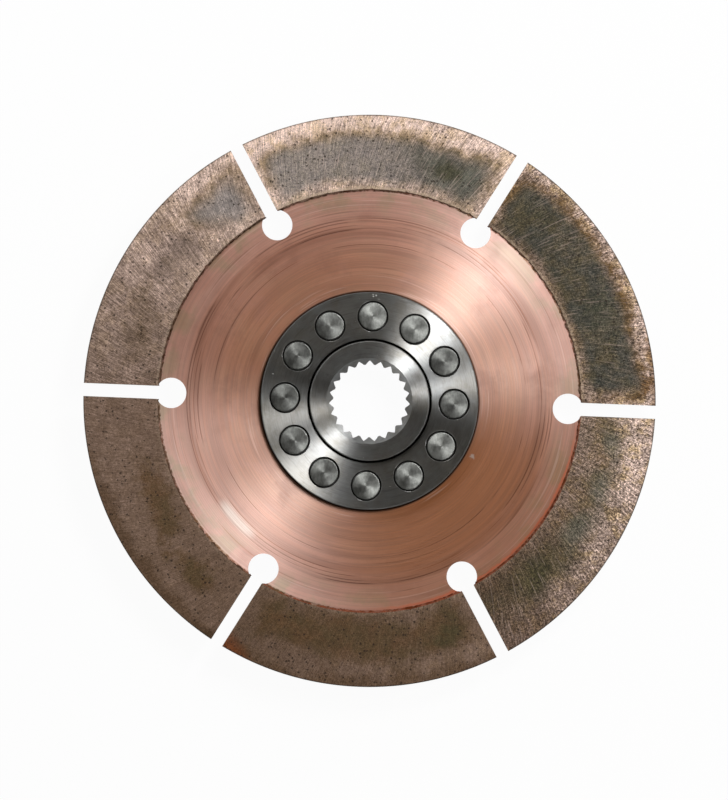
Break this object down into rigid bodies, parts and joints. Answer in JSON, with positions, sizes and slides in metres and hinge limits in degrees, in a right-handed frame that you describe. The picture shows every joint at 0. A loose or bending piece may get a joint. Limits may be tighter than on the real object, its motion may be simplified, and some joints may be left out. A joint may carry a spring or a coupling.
{
  "type": "clutch disc",
  "caption": "Flat round racing clutch disc: a splined hub riveted through a thin, slotted, copper-plated steel plate that carries sintered metal friction linings on both faces.",
  "frame": {"origin": "centre of the hub's rear end face, on the shaft axis; the disc rests on this face", "axes": "+Z along the shaft towards the retaining ring side, +X through the middle of the first expansion slot"},
  "size_m": [0.1842, 0.1842, 0.0189],
  "materials": {
    "hub_steel": "turned",
    "ring_steel": "turned",
    "rivet_steel": "faced",
    "copper_plate": "turned, copper plated",
    "sintered_lining": "ground and heat stained"
  },
  "bodies": {
    "root": {"hub": "hub_steel", "retaining_ring": "ring_steel", "core_plate": "copper_plate", "front_lining_1": "sintered_lining", "front_lining_2": "sintered_lining", "front_lining_3": "sintered_lining", "front_lining_4": "sintered_lining", "front_lining_5": "sintered_lining", "front_lining_6": "sintered_lining", "rear_lining_1": "sintered_lining", "rear_lining_2": "sintered_lining", "rear_lining_3": "sintered_lining", "rear_lining_4": "sintered_lining", "rear_lining_5": "sintered_lining", "rear_lining_6": "sintered_lining", "rivet_01": "rivet_steel", "rivet_02": "rivet_steel", "rivet_03": "rivet_steel", "rivet_04": "rivet_steel", "rivet_05": "rivet_steel", "rivet_06": "rivet_steel", "rivet_07": "rivet_steel", "rivet_08": "rivet_steel", "rivet_09": "rivet_steel", "rivet_10": "rivet_steel", "rivet_11": "rivet_steel", "rivet_12": "rivet_steel"}
  },
  "joints": []
}
